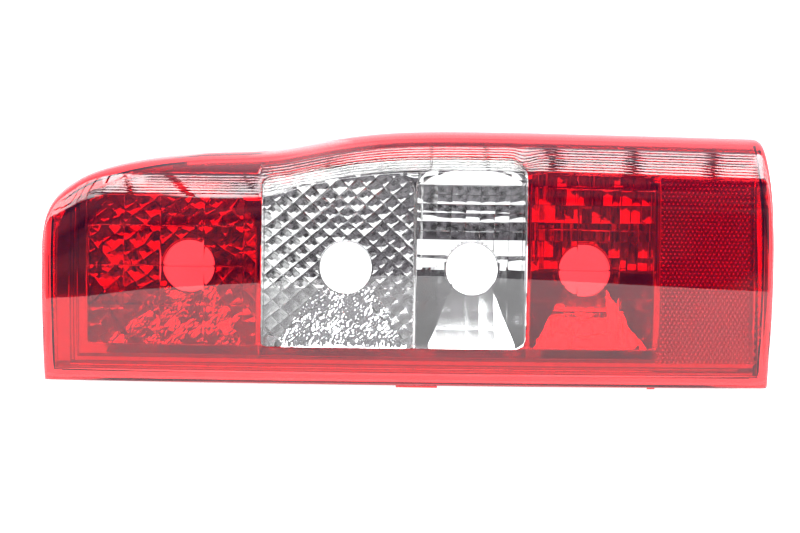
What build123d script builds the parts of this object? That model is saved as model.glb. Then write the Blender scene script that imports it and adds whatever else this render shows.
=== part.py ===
from build123d import *
import os
import math

os.makedirs("parts", exist_ok=True)

# ------------------------------------------------------------------ driving dimensions (mm)
# Frame: X along the lamp, -Y is the lens side, +Z up. Origin: centre of the stud pattern,
# on the plane of the foam gasket's free face (where the lamp meets the vehicle body).
APEX = -96.0          # Y of the most forward point of the lens
FLOOR = -75.0         # Z of the lower edge of the lens
RX = 1500.0           # radius of the lens along its length
RZ = 275.0            # radius of the lens over its height, below the crown line
CROWN = 86.0          # height of the crown line above the lower edge
ROLL_H = 51.0         # height of the top roll
ROLL_D = 50.0         # depth of the top roll
LENS_T = 2.8          # lens wall
RIM_Y0 = 40.0         # back edge of the lens skirt at the lower edge, behind the apex
RIM_SLOPE = 0.22      # the back edge leans back over the height
LEG_IN = 7.0          # sealing leg, distance of its outer face from the lens outline
LEG_T = 3.0
LEG_SHORT = 6.0       # the leg ends this much in front of the skirt's back edge
HOLE_R = 17.5         # bulb hole
FOCUS = 22.0          # focal length of the bowls
VERTEX = 66.0         # depth of the bowl vertices behind the apex
WALL = 2.2            # reflector wall
HW = 2.5              # housing wall
BACK = 92.0           # back face of the housing behind the apex
POCKET_FLOOR = 70.5   # front face of the bulb carrier pocket's floor
GASKET_T = 4.0
STUD_R = 3.0          # M6
SHANK_R = 3.8         # knurled shank moulded into the boss
STUD_DX = 300.0
STUD_DZ = 106.0
STUD_OUT = 26.0       # standing out of the housing back

# bulb axes (x, height) and chamber limits x0, x1, z0, z1
BULBS = [(-146.5, 75.0), (-41.5, 75.0), (43.0, 75.0), (118.5, 75.0)]
CHAMBERS = [(-209.0, -99.0, 24.0, 130.0), (-94.0, 3.4, 24.0, 136.0),
            (5.6, 76.0, 24.0, 139.0), (80.0, 160.0, 24.0, 139.0)]
ARCH = [40.0, 14.0, 12.0, 12.0]   # radius of each chamber's upper corners


def P(x, y, z):
    return Vector(x, y + APEX, z + FLOOR)


def clamp(a, lo, hi):
    return max(lo, min(hi, a))


# ------------------------------------------------------------------ outline of the lens, front view
TOP = [(-240.8, 90.0), (-239.2, 104.0), (-236.6, 112.3), (-231.6, 120.3), (-222.8, 128.2), (-207.5, 136.2),
       (-197.9, 139.5), (-181.8, 143.8), (-165.6, 146.8), (-149.3, 148.6), (-132.9, 149.7),
       (-116.4, 150.3), (-99.6, 151.2), (-82.9, 153.6), (-66.2, 156.9), (-49.6, 160.1),
       (-32.9, 162.7), (-16.3, 164.5), (0.4, 165.6), (33.7, 166.3), (67.1, 166.3), (100.6, 166.0),
       (134.2, 165.6), (168.0, 165.1), (202.0, 164.6), (229.0, 164.2)]


def top_h(x):
    # height of the lens outline's upper edge at x
    if x <= TOP[0][0]:
        return TOP[0][1]
    if x >= TOP[-1][0]:
        return TOP[-1][1]
    for (x0, z0), (x1, z1) in zip(TOP, TOP[1:]):
        if x0 <= x <= x1:
            return z0 + (z1 - z0) * (x - x0) / (x1 - x0)


def smooth_h(x):
    # upper edge used for the roll, evened out over a few centimetres
    n = 9
    w = 14.0
    return sum(top_h(clamp(x + w * (i / (n - 1) - 0.5) * 2, -236.0, 229.0)) for i in range(n)) / n


def roll_depth(x):
    # the roll gets shallower towards the left end
    k = clamp((-105.0 - x) / 135.0, 0.0, 1.0)
    return ROLL_D - 34.0 * k * k * (3 - 2 * k)


def face_y(x, z):
    # depth of the lens's outer face behind the apex
    y = x * x / (2 * RX)
    if z < CROWN:
        y += (CROWN - z) ** 2 / (2 * RZ)
    h = smooth_h(x)
    a = ROLL_H * 1.035
    q = (z - (h - ROLL_H)) / a
    if q > 0:
        d = roll_depth(x)
        qm = 0.955
        if q <= qm:
            y += d * (1 - math.sqrt(1 - q * q))
        else:
            y += d * (1 - math.sqrt(1 - qm * qm)) + d * (q - qm) * qm / math.sqrt(1 - qm * qm)
    return y


def depth_y(x, z, t):
    # depth of a face t behind the outer face, measured square to it
    e = 0.5
    gx = (face_y(x + e, z) - face_y(x - e, z)) / (2 * e)
    gz = (face_y(x, z + e) - face_y(x, z - e)) / (2 * e)
    return face_y(x, z) + t * math.sqrt(1 + gx * gx + gz * gz)


def behind(t, far=150.0):
    # all space behind the lens's outer face set back by t, drawn through upright sections
    nx, nz = 25, 26
    z0, z1 = -5.0, 173.0
    zs = [z0 + (z1 - z0) * j / (nz - 1) for j in range(nz)]
    sections = []
    for i in range(nx):
        x = -246.0 + 492.0 * i / (nx - 1)
        pts = [P(x, depth_y(x, z, t), z) for z in zs]
        edges = [Spline(*pts), Line(pts[-1], P(x, far, z1)), Line(P(x, far, z1), P(x, far, z0)),
                 Line(P(x, far, z0), pts[0])]
        sections.append(make_face(Wire(edges)))
    return loft(sections)


PL_FRONT = Plane(origin=P(0, 0, 0), x_dir=(1, 0, 0), z_dir=(0, -1, 0))
LEFT_TOP = [(-238.6, 0.0), (-240.5, 31.0), (-241.2, 62.0)] + TOP + [(241.0, 164.0)]
RIGHT = [(237.2, 0.0), (240.2, 31.0), (241.3, 72.0), (240.9, 118.0), (239.3, 150.0), (238.4, 166.0)]
E_LEFT_TOP = Spline(*LEFT_TOP)
E_RIGHT = Spline(*RIGHT)
CORNER = 8.0


def shifted(edge, d, side, n):
    # points of a side of the outline moved inward by d
    pts = []
    for i in range(n):
        u = i / (n - 1)
        p = edge.position_at(u)
        t = edge.tangent_at(u)
        pts.append((p.X + side * t.Y * d, p.Y - side * t.X * d))
    return pts


def cut_at_z(pts, z):
    # first point of an upward running list that lies on height z
    for (x0, z0), (x1, z1) in zip(pts, pts[1:]):
        if z0 <= z <= z1:
            return (x0 + (x1 - x0) * (z - z0) / (z1 - z0), z)
    (x0, z0), (x1, z1) = pts[0], pts[1]
    return (x0 + (x1 - x0) * (z - z0) / (z1 - z0), z)


def inset(d):
    # outline of the lens, front view, moved inward by d
    lt = shifted(E_LEFT_TOP, d, 1.0, 61)
    rt = shifted(E_RIGHT, d, -1.0, 15)
    bl = cut_at_z(lt, d)
    br = cut_at_z(rt, d)
    # upper right corner: where the two sides cross
    tr = None
    for (x0, z0), (x1, z1) in zip(rt, rt[1:]):
        for (a0, b0), (a1, b1) in zip(lt[30:], lt[31:]):
            den = (x1 - x0) * (b1 - b0) - (z1 - z0) * (a1 - a0)
            if abs(den) < 1e-9:
                continue
            u = ((a0 - x0) * (b1 - b0) - (b0 - z0) * (a1 - a0)) / den
            v = ((a0 - x0) * (z1 - z0) - (b0 - z0) * (x1 - x0)) / den
            if 0 <= u <= 1 and 0 <= v <= 1:
                tr = (x0 + u * (x1 - x0), z0 + u * (z1 - z0))
    left = [bl] + [q for q in lt if q[1] > d + 4.0 and (q[0] < 0 or q[0] < tr[0] - 3.0)] + [tr]
    right = [br] + [q for q in rt if d + 4.0 < q[1] < tr[1] - 4.0] + [tr]
    f = make_face(Wire([Line(bl, br), Spline(*right), Spline(*reversed(left))]))
    r = max(CORNER - d, 1.0)
    v = f.vertices().sort_by(lambda q: (q.X - tr[0]) ** 2 + (q.Y - tr[1]) ** 2)[0]
    f = fillet(v, r)
    return PL_FRONT.location * f


def prism(face, y0, y1):
    # straight prism of a front view face between two depths
    return Pos(0, y0, 0) * extrude(face, amount=y1 - y0, dir=(0, 1, 0))


def tilted(y0):
    # all space in front of the plane that runs parallel to the lens's back edge
    a, b = -20.0, 200.0
    pts = [P(0, y0 + RIM_SLOPE * a, a), P(0, y0 + RIM_SLOPE * b, b), P(0, -60, b), P(0, -60, a)]
    f = make_face(Polyline(*pts, close=True))
    return extrude(f, amount=300, dir=(1, 0, 0), both=True)


def slab(x0, x1, y0, y1, z0, z1):
    a = P(x0, y0, z0)
    b = P(x1, y1, z1)
    c = (a + b) * 0.5
    return Pos(c.X, c.Y, c.Z) * Box(x1 - x0, y1 - y0, z1 - z0)


def rod(x, z, r, y0, y1, r1=None):
    a = P(x, y0, z)
    pl = Plane(origin=a, x_dir=(1, 0, 0), z_dir=(0, 1, 0))
    c = extrude(pl * Circle(r), amount=y1 - y0)
    return c


OUT = inset(0.0)


# ------------------------------------------------------------------ lens
def one(shape):
    # the single solid of a boolean's result
    sol = sorted(shape.solids(), key=lambda q: -q.volume)
    return sol[0]


BEHIND_OUT = behind(0.0)
BEHIND_IN = behind(LENS_T)

skirt_space = tilted(RIM_Y0)
leg_space = tilted(RIM_Y0 - LEG_SHORT)
inner = inset(LENS_T)
lens_body = (prism(OUT, -4, 130) & BEHIND_OUT & skirt_space)
lens = one(lens_body - (prism(inner, -4, 130) & BEHIND_IN))
leg = (prism(inset(LEG_IN) - inset(LEG_IN + LEG_T), -4, 130) & behind(LENS_T - 0.6) & leg_space)
lens = one(lens + leg)

# two gate vestiges stand under the lower edge
for gx, gw, gh in ((6.5, 27.0, 1.3), (160.5, 5.0, 0.8)):
    gy = face_y(gx, 1.0) + 6.0
    lens = one(lens + slab(gx - gw / 2, gx + gw / 2, gy, gy + 2.4, -gh, 1.2))

# clear window, front view: follows the upper contour of the lens
WIN = [(-95.0, 23.0), (76.8, 23.0), (77.0, 138.0), (74.5, 145.0), (66.5, 147.6), (33.0, 147.6), (0.0, 146.8),
       (-32.9, 143.8), (-66.2, 138.2), (-95.0, 132.4)]
w_bot = Line(WIN[0], (71.0, 23.0))
w_c1 = ThreePointArc((71.0, 23.0), (75.2, 24.8), (76.9, 29.0))
w_right = Line((76.9, 29.0), (77.0, 138.0))
w_c2 = Spline((77.0, 138.0), (74.5, 145.0), (66.5, 147.6), tangents=((0, 1), (-1, 0)))
w_top = Spline((66.5, 147.6), (33.0, 147.6), (0.0, 146.8), (-32.9, 143.8), (-66.2, 138.2), WIN[9], tangents=((-1, 0), (-1, -0.22)))
w_left = Line(WIN[9], WIN[0])
win_face = PL_FRONT.location * make_face(Wire([w_bot, w_c1, w_right, w_c2, w_top, w_left]))
win_prism = prism(win_face, -4, 60)
lens_clear = one(lens & win_prism)
lens_red = one(lens - win_prism)

# ------------------------------------------------------------------ reflector moulding
plate_face = inset(LEG_IN + LEG_T + 0.6)
FL = RIM_Y0 - LEG_SHORT
plate = prism(plate_face, -4, 130) & (tilted(FL) - tilted(FL - WALL))
FRONT = 16.5


def curved(y):
    # all space behind an upright cylinder face that runs parallel to the crown of the lens
    c = P(0, y + RX, 0)
    return Pos(c.X, c.Y, c.Z + 80) * Cylinder(RX, 260)


behind_front = curved(FRONT)


def chamber(i, grow):
    # straight space of one chamber; the outer one has its upper corners rounded
    x0, x1, z0, z1 = CHAMBERS[i]
    r = ARCH[i]
    w, h = x1 - x0 + 2 * grow, z1 - z0 + 2 * grow
    sk = PL_FRONT.location * (Pos((x0 + x1) / 2, (z0 + z1) / 2) * Rectangle(w, h))
    b = extrude(sk, amount=VERTEX + 14, dir=(0, 1, 0))
    es = b.edges().filter_by(Axis.Y).group_by(Axis.Z)[-1]
    return fillet(es, r + grow)


def bowl(i, back):
    # paraboloid space in front of the bowl's face, set back by `back`
    bx, bz = BULBS[i]
    rm = 92.0
    dep = rm * rm / (4 * FOCUS)
    o = P(bx, VERTEX + back, bz)
    pl = Plane(origin=o, x_dir=(1, 0, 0), z_dir=(0, 0, 1))
    # a parabola is the quadratic curve on these three points
    curve = Bezier((0, 0), (rm / 2, 0), (rm, -dep))
    prof = make_face(Wire([curve, Line((rm, -dep), (0, -dep)), Line((0, -dep), (0, 0))]))
    return revolve(pl.location * prof, axis=Axis(o, (0, 1, 0)))


refl = plate
for i in range(4):
    bx, bz = BULBS[i]
    outer = chamber(i, WALL)
    inside = chamber(i, 0.0)
    solid_out = outer & behind_front & (bowl(i, WALL) + slab(bx - 21, bx + 21, VERTEX - 12, VERTEX + WALL, bz - 21, bz + 21))
    hollow = inside & bowl(i, 0.0)
    walls = (outer - inside) & behind_front & slab(-300, 300, -4, 52.0, -10, 180)
    piece = (solid_out + walls) - hollow
    # the walls run back to the frame plate
    refl = refl - (inside & slab(-300, 300, -4, 130, -10, 180)) + piece
for i in range(4):
    bx, bz = BULBS[i]
    refl = refl + rod(bx, bz, HOLE_R + 1.9, VERTEX - 3.0, POCKET_FLOOR + HW + 2.0)
for i in range(4):
    bx, bz = BULBS[i]
    refl = refl - (chamber(i, 0.0) & bowl(i, 0.0))
    refl = refl - rod(bx, bz, HOLE_R, VERTEX - 12, POCKET_FLOOR + 12)

# screw bosses between the bowls, on the back
SCREWS = [(-96.5, 96.0), (-96.5, 52.0), (78.0, 96.0), (78.0, 52.0)]
SCREW_R = 1.75
for sx, sz in SCREWS:
    refl = refl + rod(sx, sz, 4.2, 40.0, POCKET_FLOOR)
for i in range(4):
    refl = refl - (chamber(i, 0.0) & bowl(i, 0.0))
for sx, sz in SCREWS:
    refl = refl - rod(sx, sz, SCREW_R, POCKET_FLOOR - 11.0, POCKET_FLOOR + 1)
reflector = one(refl)

# ------------------------------------------------------------------ reflex reflector panel
tile_face = PL_FRONT.location * (Pos(193.6, 78.0) * RectangleRounded(56.0, 122.0, 4.0))
tile_in = PL_FRONT.location * (Pos(193.6, 78.0) * RectangleRounded(52.0, 118.0, 2.0))
tile = prism(tile_face, -4, 120) & curved(12.5) & tilted(FL - WALL)
tile = one(tile - (prism(tile_in, -4, 120) & curved(12.5 + 3.6)))

# ------------------------------------------------------------------ housing
flange = prism(inset(LEG_IN - 0.2), -4, 130) & (tilted(FL + 2.6) - tilted(FL))
body_out = prism(inset(11.4), -4, BACK) - tilted(FL)
body_in = prism(inset(11.4 + HW), -4, BACK - HW)
hous = flange + body_out - body_in
PX0, PX1, PZ0, PZ1 = -187.0, 159.0, 40.0, 110.0
hous = hous + slab(PX0 - HW, PX1 + HW, POCKET_FLOOR, BACK, PZ0 - HW, PZ1 + HW)
pocket = slab(PX0, PX1, POCKET_FLOOR + HW, BACK + 5, PZ0, PZ1)
pocket = fillet(pocket.edges().filter_by(Axis.Y), 6.0)
hous = hous - pocket
for bx, bz in BULBS:
    hous = hous - rod(bx, bz, HOLE_R + 2.5, POCKET_FLOOR - 3, POCKET_FLOOR + HW + 1)
for sx, sz in SCREWS:
    hous = hous - rod(sx, sz, SCREW_R, POCKET_FLOOR - 1, POCKET_FLOOR + HW + 1)
# latch noses for the bulb carrier, on the long walls of the pocket
for lx in (-150.0, -14.0, 122.0):
    for zz, dz in ((PZ0, 1), (PZ1, -1)):
        z0, z1 = sorted((zz - dz * 0.5, zz + dz * 2.2))
        nose = slab(lx - 7, lx + 7, BACK - 5.0, BACK - 1.5, z0, z1)
        hous = hous + nose
# stud bosses inside the back wall
MID_Z = -FLOOR
STUDS = [(sx * STUD_DX / 2, MID_Z + sz * STUD_DZ / 2) for sx in (-1, 1) for sz in (-1, 1)]
for sx, sz in STUDS:
    hous = hous + rod(sx, sz, 8.0, BACK - 14.0, BACK - 1.0)
# locating peg
PEG = (203.0, MID_Z)
PEG_R = 4.0
PEG_L = 14.0
peg = rod(PEG[0], PEG[1], PEG_R, BACK - 1.0, BACK + GASKET_T + PEG_L)
peg = chamfer(peg.edges().group_by(Axis.Y)[-1], 1.2)
hous = hous + rod(PEG[0], PEG[1], 9.0, BACK - 1.0, BACK + GASKET_T) + peg
# stiffening ribs on the back
for rx in (-214.0, -200.0, 184.0, 222.0):
    hous = hous + slab(rx - 1.0, rx + 1.0, BACK - 1.0, BACK + 2.5, 34.0, 118.0)
for rx in (-100.0, -50.0, 0.0, 50.0, 100.0):
    hous = hous + slab(rx - 1.0, rx + 1.0, BACK - 1.0, BACK + 2.5, 14.5, 25.0)
    hous = hous + slab(rx - 1.0, rx + 1.0, BACK - 1.0, BACK + 2.5, 125.0, 134.0)
# breather spigots
VENTS = [(203.0, 126.0), (-207.0, 22.0)]
for vx, vz in VENTS:
    hous = hous + rod(vx, vz, 4.0, BACK - 1.0, BACK + 7.0)
    hous = hous - rod(vx, vz, 2.2, BACK - 8.0, BACK + 9.0)

# ------------------------------------------------------------------ studs, gasket, screws, breather caps
studs = []
for sx, sz in STUDS:
    s = rod(sx, sz, 5.5, BACK - 12.0, BACK - 8.5) + rod(sx, sz, SHANK_R, BACK - 9.0, BACK) + rod(sx, sz, STUD_R, BACK - 0.5, BACK + STUD_OUT)
    s = chamfer(s.edges().group_by(Axis.Y)[-1], 0.8)
    studs.append(one(s))
    hous = hous - rod(sx, sz, 5.5, BACK - 12.0, BACK - 8.5) - rod(sx, sz, SHANK_R, BACK - 9.0, BACK + 2)
housing = one(hous)

g_out = PL_FRONT.location * (Pos((PX0 + PX1) / 2, (PZ0 + PZ1) / 2) * RectangleRounded(PX1 - PX0 + 16, PZ1 - PZ0 + 16, 13.0))
g_in = PL_FRONT.location * (Pos((PX0 + PX1) / 2, (PZ0 + PZ1) / 2) * RectangleRounded(PX1 - PX0 + 2, PZ1 - PZ0 + 2, 7.0))
gasket = one(prism(g_out - g_in, BACK, BACK + GASKET_T))

screws = []
for sx, sz in SCREWS:
    y = POCKET_FLOOR + HW
    sc = rod(sx, sz, 3.5, y, y + 2.3) + rod(sx, sz, SCREW_R, y - HW - 9.0, y + 0.5)
    drive = rod(sx, sz, 0.01 + 1.6, y + 1.0, y + 3.0) & (
        slab(sx - 0.45, sx + 0.45, y + 1.0, y + 3, sz - 2, sz + 2) + slab(sx - 2, sx + 2, y + 1.0, y + 3, sz - 0.45, sz + 0.45))
    sc = fillet(sc.edges().group_by(Axis.Y)[-1], 0.9) - drive
    screws.append(one(sc))

caps = []
for vx, vz in VENTS:
    c = rod(vx, vz, 6.4, BACK + 1.0, BACK + 9.5)
    c = fillet(c.edges().group_by(Axis.Y)[-1], 1.6)
    c = c - rod(vx, vz, 4.0, BACK, BACK + 7.0)
    # labyrinth slots in the cap's skirt
    c = c - slab(vx - 8, vx + 8, BACK, BACK + 3.2, vz - 0.9, vz + 0.9)
    caps.append(one(c))

# ------------------------------------------------------------------ export
nodes = {
    "lens_red": lens_red,
    "lens_clear": lens_clear,
    "reflector": reflector,
    "reflex_panel": tile,
    "housing": housing,
    "body_gasket": gasket,
    "mounting_studs": Compound(studs),
    "reflector_screws": Compound(screws),
    "breather_caps": Compound(caps),
}
for name, shape in nodes.items():
    export_step(shape, "parts/" + name + ".step")
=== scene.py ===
import bpy
import bmesh
import math
import numpy as np
from mathutils import Matrix, Vector


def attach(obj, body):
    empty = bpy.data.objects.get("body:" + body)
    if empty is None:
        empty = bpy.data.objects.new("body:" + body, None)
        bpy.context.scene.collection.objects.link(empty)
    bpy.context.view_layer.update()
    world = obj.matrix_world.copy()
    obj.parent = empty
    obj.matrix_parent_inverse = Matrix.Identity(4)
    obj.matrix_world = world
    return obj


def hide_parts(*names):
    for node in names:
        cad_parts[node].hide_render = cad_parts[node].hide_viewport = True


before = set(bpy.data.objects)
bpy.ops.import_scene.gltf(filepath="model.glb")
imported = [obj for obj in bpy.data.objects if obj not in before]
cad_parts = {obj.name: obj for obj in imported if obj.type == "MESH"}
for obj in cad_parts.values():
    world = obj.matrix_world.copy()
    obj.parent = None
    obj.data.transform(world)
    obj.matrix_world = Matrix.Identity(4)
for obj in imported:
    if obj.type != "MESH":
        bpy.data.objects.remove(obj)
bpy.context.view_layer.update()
scene = bpy.context.scene

# ---------------------------------------------------------------- shape of the lens (mm, measured from the crown and the lower edge)
MM = 0.001
APEX, FLOOR = -96.0, -75.0
RX, RZ, CROWN = 1500.0, 275.0, 86.0
ROLL_H, ROLL_D, LENS_T = 51.0, 50.0, 2.8
RIM_Y0, RIM_SLOPE, LEG_SHORT = 40.0, 0.22, 6.0
HOLE_R, FOCUS, VERTEX = 17.5, 22.0, 66.0
BULBS = [(-146.5, 75.0), (-41.5, 75.0), (43.0, 75.0), (118.5, 75.0)]
CHAMBERS = [(-209.0, -99.0, 24.0, 130.0), (-94.0, 3.4, 24.0, 136.0), (5.6, 76.0, 24.0, 139.0), (80.0, 160.0, 24.0, 139.0)]
ARCH = [40.0, 14.0, 12.0, 12.0]
TOP = [(-240.8, 90.0), (-239.2, 104.0), (-236.6, 112.3), (-231.6, 120.3), (-222.8, 128.2), (-207.5, 136.2),
       (-197.9, 139.5), (-181.8, 143.8), (-165.6, 146.9), (-149.3, 149.0), (-132.9, 150.5),
       (-116.4, 151.2), (-99.6, 151.9), (-82.9, 153.7), (-66.2, 156.9), (-49.6, 160.1),
       (-32.9, 162.7), (-16.3, 164.5), (0.4, 165.6), (33.7, 166.3), (67.1, 166.3), (100.6, 166.0),
       (134.2, 165.7), (168.0, 165.4), (202.0, 165.1), (229.0, 164.9)]
TX = np.array([p[0] for p in TOP])
TZ = np.array([p[1] for p in TOP])
XL, XR = -240.8, 239.2


def spline(xs, ys, q):
    # monotone cubic through the points
    xs, ys, q = np.asarray(xs, float), np.asarray(ys, float), np.asarray(q, float)
    h = np.diff(xs)
    dl = np.diff(ys) / h
    m = np.empty_like(ys)
    m[1:-1] = np.where(dl[:-1] * dl[1:] > 0, 2 * dl[:-1] * dl[1:] / np.where(dl[:-1] + dl[1:] == 0, 1, dl[:-1] + dl[1:]), 0)
    m[0], m[-1] = dl[0], dl[-1]
    k = np.clip(np.searchsorted(xs, q) - 1, 0, len(xs) - 2)
    t = (q - xs[k]) / h[k]
    t = np.clip(t, 0, 1)
    a, b = ys[k], ys[k + 1]
    return ((2 * t**3 - 3 * t**2 + 1) * a + (t**3 - 2 * t**2 + t) * h[k] * m[k]
            + (-2 * t**3 + 3 * t**2) * b + (t**3 - t**2) * h[k] * m[k + 1])


def edge_h(x):
    # upper edge of the outline, with the rounded right corner
    h = spline(TX, TZ, np.minimum(x, 229.0))
    c = np.clip((x - 231.2) / 8.0, 0, 1)
    return h - 8.0 * (1 - np.sqrt(np.maximum(0, 1 - c * c)))


def smooth_h(x):
    n = 9
    s = 0
    for i in range(n):
        s = s + spline(TX, TZ, np.clip(x + 14.0 * (i / (n - 1) - 0.5) * 2, -236.0, 229.0))
    return s / n


def roll_depth(x):
    k = np.clip((-105.0 - x) / 135.0, 0.0, 1.0)
    return ROLL_D - 34.0 * k * k * (3 - 2 * k)


def face_y(x, z):
    y = x * x / (2 * RX) + np.where(z < CROWN, (CROWN - z) ** 2 / (2 * RZ), 0)
    # beside the step in the upper contour the roll starts a little higher
    w = np.clip((smooth_h(x) - 3.0 - z) / 18.0, 0, 1)
    up = 4.3 * np.exp(-((x + 62.0) / 24.0) ** 2) * w * w * (3 - 2 * w)
    q = (z - (smooth_h(x) + up - ROLL_H)) / (ROLL_H * 1.035)
    d = roll_depth(x)
    qm = 0.955
    qc = np.clip(q, 0, qm)
    y = y + d * (1 - np.sqrt(1 - qc * qc))
    return y + np.where(q > qm, d * (q - qm) * qm / math.sqrt(1 - qm * qm), 0)


def steep(x, z):
    e = 0.5
    gx = (face_y(x + e, z) - face_y(x - e, z)) / (2 * e)
    gz = (face_y(x, z + e) - face_y(x, z - e)) / (2 * e)
    return np.sqrt(1 + gx * gx + gz * gz)


def side_l(z):
    return spline([-1.6, 31, 62, 90, 200], [-239.2, -239.7, -240.1, -240.4, -240.8], z)


def side_r(z):
    return spline([-1.6, 21, 31, 72, 90, 112, 122, 132, 142, 152, 166], [238.4, 238.6, 239.1, 239.8, 239.9, 239.1, 238.5, 237.8, 237.0, 236.2, 235.4], z)


def W(x, y, z):
    return (x * MM, (y + APEX) * MM, (z + FLOOR) * MM)


# ---------------------------------------------------------------- small mesh helpers
def new_mesh(name, verts, faces, mat=None, smooth=True, angle=32.0, sharp=None, recalc=True):
    me = bpy.data.meshes.new(name)
    me.from_pydata(verts, [], faces)
    me.update()
    bm = bmesh.new()
    bm.from_mesh(me)
    if recalc:
        bmesh.ops.recalc_face_normals(bm, faces=bm.faces[:])
    if sharp is not None:
        bm.verts.ensure_lookup_table()
        for e in bm.edges:
            a, b = e.verts[0].index, e.verts[1].index
            if sharp(a, b):
                e.smooth = False
    bm.to_mesh(me)
    bm.free()
    keep = [e.use_edge_sharp for e in me.edges] if sharp is not None else None
    if smooth:
        me.polygons.foreach_set("use_smooth", [True] * len(me.polygons))
        me.set_sharp_from_angle(angle=math.radians(angle))
        if keep is not None:
            for e, k in zip(me.edges, keep):
                if k:
                    e.use_edge_sharp = True
    ob = bpy.data.objects.new(name, me)
    scene.collection.objects.link(ob)
    if mat:
        me.materials.append(mat)
    return ob


# ---------------------------------------------------------------- materials
def nodes_of(mat):
    mat.use_nodes = True
    nt = mat.node_tree
    nt.nodes.clear()
    out = nt.nodes.new("ShaderNodeOutputMaterial")
    b = nt.nodes.new("ShaderNodeBsdfPrincipled")
    nt.links.new(b.outputs[0], out.inputs[0])
    return nt, b


def noise(nt, scale, detail=3.0, rough=0.55):
    tc = nt.nodes.new("ShaderNodeTexCoord")
    n = nt.nodes.new("ShaderNodeTexNoise")
    n.inputs["Scale"].default_value = scale
    n.inputs["Detail"].default_value = detail
    n.inputs["Roughness"].default_value = rough
    nt.links.new(tc.outputs["Object"], n.inputs["Vector"])
    return n


def ramp(nt, src, lo, hi, c0, c1):
    r = nt.nodes.new("ShaderNodeValToRGB")
    r.color_ramp.elements[0].position = lo
    r.color_ramp.elements[1].position = hi
    r.color_ramp.elements[0].color = (*c0, 1)
    r.color_ramp.elements[1].color = (*c1, 1)
    nt.links.new(src, r.inputs[0])
    return r


def bump(nt, b, src, strength, dist):
    u = nt.nodes.new("ShaderNodeBump")
    u.inputs["Strength"].default_value = strength
    u.inputs["Distance"].default_value = dist
    nt.links.new(src, u.inputs["Height"])
    nt.links.new(u.outputs[0], b.inputs["Normal"])


def acrylic(name, c0, c1, rough=0.0, bump_s=0.02):
    m = bpy.data.materials.new(name)
    nt, b = nodes_of(m)
    n = noise(nt, 35.0)
    r = ramp(nt, n.outputs[0], 0.3, 0.7, c0, c1)
    nt.links.new(r.outputs[0], b.inputs["Base Color"])
    b.inputs["Roughness"].default_value = rough
    b.inputs["IOR"].default_value = 1.59
    b.inputs["Transmission Weight"].default_value = 1.0
    return m


def metal(name, c0, c1, rough, scale=220.0, bump_s=0.05):
    m = bpy.data.materials.new(name)
    nt, b = nodes_of(m)
    n = noise(nt, scale)
    r = ramp(nt, n.outputs[0], 0.3, 0.7, c0, c1)
    nt.links.new(r.outputs[0], b.inputs["Base Color"])
    b.inputs["Metallic"].default_value = 1.0
    b.inputs["Roughness"].default_value = rough
    if bump_s > 0:
        n2 = noise(nt, scale * 1.7)
        bump(nt, b, n2.outputs[0], bump_s, 0.0004)
    return m


def plastic(name, c0, c1, rough, scale=900.0, bump_s=0.15, spec=0.5):
    m = bpy.data.materials.new(name)
    nt, b = nodes_of(m)
    n = noise(nt, 60.0)
    r = ramp(nt, n.outputs[0], 0.35, 0.65, c0, c1)
    nt.links.new(r.outputs[0], b.inputs["Base Color"])
    b.inputs["Roughness"].default_value = rough
    b.inputs["Specular IOR Level"].default_value = spec
    n2 = noise(nt, scale)
    bump(nt, b, n2.outputs[0], bump_s, 0.0003)
    return m


M_RED = acrylic("red_acrylic", (0.87, 0.029, 0.033), (0.91, 0.033, 0.038))
M_CLEAR = acrylic("clear_acrylic", (0.965, 0.975, 0.975), (0.985, 0.99, 0.99))
M_REFLEX = acrylic("reflex_acrylic", (0.985, 0.04, 0.08), (1.0, 0.05, 0.10), 0.09)
for m in (M_RED, M_REFLEX):
    b = next(n for n in m.node_tree.nodes if n.type == "BSDF_PRINCIPLED")
    b.inputs["Sheen Weight"].default_value = 0.03
    b.inputs["Sheen Roughness"].default_value = 0.8
    b.inputs["Sheen Tint"].default_value = (0.6, 0.15, 1.0, 1)
M_METAL = metal("metallised", (0.78, 0.78, 0.79), (0.85, 0.85, 0.85), 0.06)
M_FRAME = metal("metallised_frame", (0.54, 0.54, 0.55), (0.61, 0.61, 0.61), 0.09)
M_ABS = plastic("black_abs", (0.031, 0.032, 0.034), (0.039, 0.040, 0.042), 0.45)
M_FOAM = plastic("foam", (0.030, 0.030, 0.032), (0.055, 0.055, 0.058), 0.95, 500.0, 0.8, 0.2)
M_RUBBER = plastic("rubber", (0.012, 0.012, 0.012), (0.022, 0.022, 0.022), 0.65)
# the satin roughness is the coating's own; the near-black base colour is painted shade behind the ribbed roll
M_SATIN_PAINTED_SHADE = metal("metallised_satin_painted_shade", (0.075, 0.075, 0.08), (0.095, 0.095, 0.095), 0.40)
M_PEEN = metal("metallised_peened", (0.66, 0.66, 0.67), (0.74, 0.74, 0.74), 0.19)
M_STEEL = metal("zinc_plated", (0.58, 0.57, 0.52), (0.70, 0.69, 0.66), 0.28, 400.0, 0.1)

# ---------------------------------------------------------------- lens grid
def fill(points, step):
    pts = sorted(set(round(p, 4) for p in points))
    out = [pts[0]]
    for a, b in zip(pts, pts[1:]):
        n = max(1, int(math.ceil((b - a) / step - 1e-6)))
        out += [a + (b - a) * k / n for k in range(1, n + 1)]
    return out


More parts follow.
